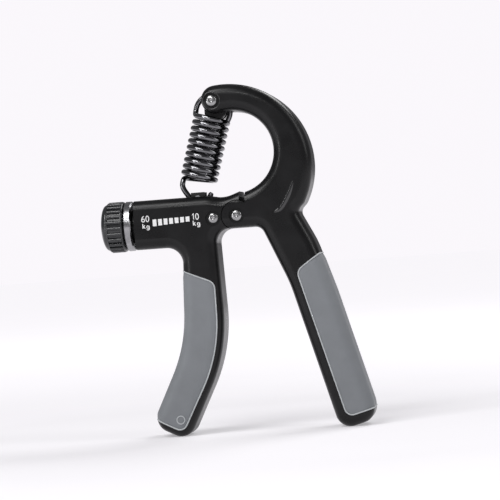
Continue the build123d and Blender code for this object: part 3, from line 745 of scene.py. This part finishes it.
def figure(which, x, z, high):
    """Own plain strokes for one character whose left foot is at (x, z)."""
    w = high * 0.52
    if which == "0":
        return [oval(x + w / 2, z + high / 2, w / 2, high / 2)]
    if which == "1":
        return [[(x + w * 0.15, z + high * 0.78), (x + w * 0.55, z + high), (x + w * 0.55, z)]]
    if which == "6":
        stem = oval(x + w, z + w / 2, w, high - w / 2, 100, 180, 8)
        return [oval(x + w / 2, z + w / 2, w / 2, w / 2), stem]
    if which == "k":
        return [[(x, z), (x, z + high)], [(x + w * 0.85, z + high * 0.66), (x, z + high * 0.28)],
                [(x + w * 0.25, z + high * 0.4), (x + w * 0.9, z)]]
    bowl = oval(x + w / 2, z + w / 2, w / 2, w / 2)
    tail = [(x + w, z + w), (x + w, z - w * 0.25)]
    tail += oval(x + w / 2, z - w * 0.25, w / 2, w * 0.42, 0, -160, 8)
    return [bowl, tail]


def words(text, x, z, high, pitch):
    return [s for i, c in enumerate(text) for s in figure(c, x + i * pitch, z, high)]


INK_WIDTH = 0.34
lines = words("60", -38.5, 0.1, 2.3, 1.75) + words("kg", -38.2, -2.55, 1.9, 1.6)
lines += words("10", -18.0, -0.4, 2.3, 1.5) + words("kg", -17.6, -2.8, 1.9, 1.6)
lettering = join(*[stroke(s, INK_WIDTH, 0.004 * (i % 4)) for i, s in enumerate(lines)])
bars = []
BAR_COUNT = 7
for k in range(BAR_COUNT):
    share = k / (BAR_COUNT - 1)
    x = -33.3 + 2.25 * k
    low, high = -1.9 + 0.9 * share, 0.8 + 0.2 * share
    bars.append(stroke([(x, low), (x, high)], 1.55))
piece("scale_print", *join(lettering, *bars), INK, "arm_plastic", "finger_arm", 30)


# ---------------------------------------------------------------- mould details on the arms
def curve_through(points, steps=10):
    """Smooth points through (x, z) marks."""
    out = []
    last = len(points) - 1
    for i in range(last):
        p0, p1 = Vector(points[max(i - 1, 0)]), Vector(points[i])
        p2, p3 = Vector(points[i + 1]), Vector(points[min(i + 2, last)])
        for k in range(steps):
            t = k / steps
            out.append(0.5 * (2 * p1 + (p2 - p0) * t + (2 * p0 - 5 * p1 + 4 * p2 - p3) * t * t
                              + (3 * p1 - p0 - 3 * p2 + p3) * t ** 3))
    out.append(Vector(points[-1]))
    return out


def crease_swell(t):
    """Thin at its ends, full in between."""
    return 0.35 + 0.65 * math.sin(math.pi * min(1, t * 1.15)) ** 0.5


CREASE_R, BOSS_R = 1.35, 3.45
crease = curve_through([(14.3, 0.05), (17.6, 1.2), (20.1, 4.5), (22.0, 8.0), (23.6, 12.1), (24.2, 15.2)])
creases = []
for face in (-1, 1):
    run = [at(p.x, face * 9.1, p.y) for p in crease]
    creases.append(tube(run, CREASE_R * MM, sides=24, taper=crease_swell))
bosses = []
for face in (-1, 1):
    ring_path = []
    for k in range(64):
        a = 2 * math.pi * k / 64
        ring_path.append(at(TOP.x + BOSS_R * math.cos(a), face * 9.88, TOP.z + BOSS_R * math.sin(a)))
    bosses.append(tube(ring_path, 0.2 * MM, sides=10, closed=True))
# The crease and boss rings take the glossy black with a lighter base colour: real gloss plus painted
# highlight.
piece("hook_mould_lines", *join(*creases, *bosses), POLISHED_AND_PAINTED_HIGHLIGHT, "arm_plastic", "hook_arm", 60)

# ---------------------------------------------------------------- floor, light and camera
FLOOR_R, FLOOR_STEPS = 8.0, 64
floor_mesh = bpy.data.meshes.new("studio_floor")
floor_turns = [2 * math.pi * k / FLOOR_STEPS for k in range(FLOOR_STEPS)]
floor_ring = [(FLOOR_R * math.cos(a), FLOOR_R * math.sin(a), 0) for a in floor_turns]
floor_mesh.from_pydata(floor_ring, [], [tuple(range(FLOOR_STEPS))])
floor = bpy.data.objects.new("studio_floor", floor_mesh)
bpy.context.scene.collection.objects.link(floor)
floor_mat, floor_nodes, floor_links, floor_shader, floor_coord = finish_nodes("pale_floor")
floor_tone = spread(floor_nodes, floor_links, grain(floor_nodes, floor_links, floor_coord, 6, 2), 0, 1)
floor_colour = tint(floor_nodes, floor_links, floor_tone, (0.58, 0.57, 0.59), (0.61, 0.60, 0.62))
floor_links.new(floor_colour, floor_shader.inputs["Base Color"])
floor_shader.inputs["Roughness"].default_value = 0.85
floor_shader.inputs["Specular IOR Level"].default_value = 0.1
floor_shader.inputs["Emission Color"].default_value = (0.95, 0.93, 0.96, 1)
away = floor_nodes.new("ShaderNodeVectorMath")
away.operation = "LENGTH"
floor_links.new(floor_coord.outputs["Object"], away.inputs[0])
glow = spread(floor_nodes, floor_links, away.outputs["Value"], 0.36, 0.87, 0.15, 0.9)
floor_links.new(glow, floor_shader.inputs["Emission Strength"])
floor_mesh.materials.append(floor_mat)
floor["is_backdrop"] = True

bpy.context.scene.view_settings.view_transform = "Standard"
BACKDROP, ROOM_LIGHT = 1.0, 0.2     # how bright the backdrop looks, and how much it lights the object
world = bpy.data.worlds.new("studio")
bpy.context.scene.world = world
world.use_nodes = True
world_nodes, world_links = world.node_tree.nodes, world.node_tree.links
room = world_nodes["Background"]
room.inputs["Color"].default_value = (0.95, 0.94, 0.97, 1)
room.inputs["Strength"].default_value = ROOM_LIGHT
backdrop = world_nodes.new("ShaderNodeBackground")
backdrop.inputs["Color"].default_value = (0.96, 0.935, 0.97, 1)
backdrop.inputs["Strength"].default_value = BACKDROP
seen = world_nodes.new("ShaderNodeLightPath")
choose = world_nodes.new("ShaderNodeMixShader")
world_links.new(seen.outputs["Is Camera Ray"], choose.inputs["Fac"])
world_links.new(room.outputs["Background"], choose.inputs[1])
world_links.new(backdrop.outputs["Background"], choose.inputs[2])
world_links.new(choose.outputs["Shader"], world_nodes["World Output"].inputs["Surface"])

CENTRE = (cad_low + cad_high) / 2


def softbox(name, azimuth, elevation, distance, width, height, watts):
    """An area light that faces the object. Azimuth 0 is in front, 90 on the palm side."""
    a, e = math.radians(azimuth), math.radians(elevation)
    way = Vector((math.sin(a) * math.cos(e), -math.cos(a) * math.cos(e), math.sin(e)))
    data = bpy.data.lights.new(name, "AREA")
    data.shape = "RECTANGLE"
    data.size, data.size_y = width, height
    data.energy = watts
    light = bpy.data.objects.new(name, data)
    light.rotation_mode = "QUATERNION"
    light.rotation_quaternion = way.to_track_quat("Z", "Y")
    light.location = CENTRE + way * distance
    bpy.context.scene.collection.objects.link(light)


softbox("key", -35, 50, 0.9, 0.45, 0.4, 4.4)
softbox("front_strip", -46, 8, 0.9, 0.07, 0.5, 1.3)
softbox("front_bar", -9, 30, 0.9, 0.3, 0.05, 1.0)
softbox("side", 75, 30, 0.9, 0.2, 0.6, 1.6)
softbox("back_top", 140, 50, 0.9, 0.5, 0.25, 3.5)

AZIMUTH, ROLL = math.radians(7.5), math.radians(4.1)
LENS, SENSOR, FIELD = 150.0, 36.0, 200.0 * MM
back = Vector((math.sin(AZIMUTH), -math.cos(AZIMUTH), 0))
level = Vector((math.cos(AZIMUTH), math.sin(AZIMUTH), 0))
right = level * math.cos(ROLL) - Vector((0, 0, 1)) * math.sin(ROLL)
up = level * math.sin(ROLL) + Vector((0, 0, 1)) * math.cos(ROLL)
camera_data = bpy.data.cameras.new("studio_camera")
camera_data.lens, camera_data.sensor_width = LENS, SENSOR
camera = bpy.data.objects.new("studio_camera", camera_data)
aim = at(0, -10.3, 0) - right * -5.52 * MM - up * 13.84 * MM
turned = Matrix((right, up, back)).transposed().to_4x4()
camera.matrix_world = Matrix.Translation(aim + back * FIELD * LENS / SENSOR) @ turned
bpy.context.scene.collection.objects.link(camera)
bpy.context.scene.camera = camera

low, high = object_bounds()
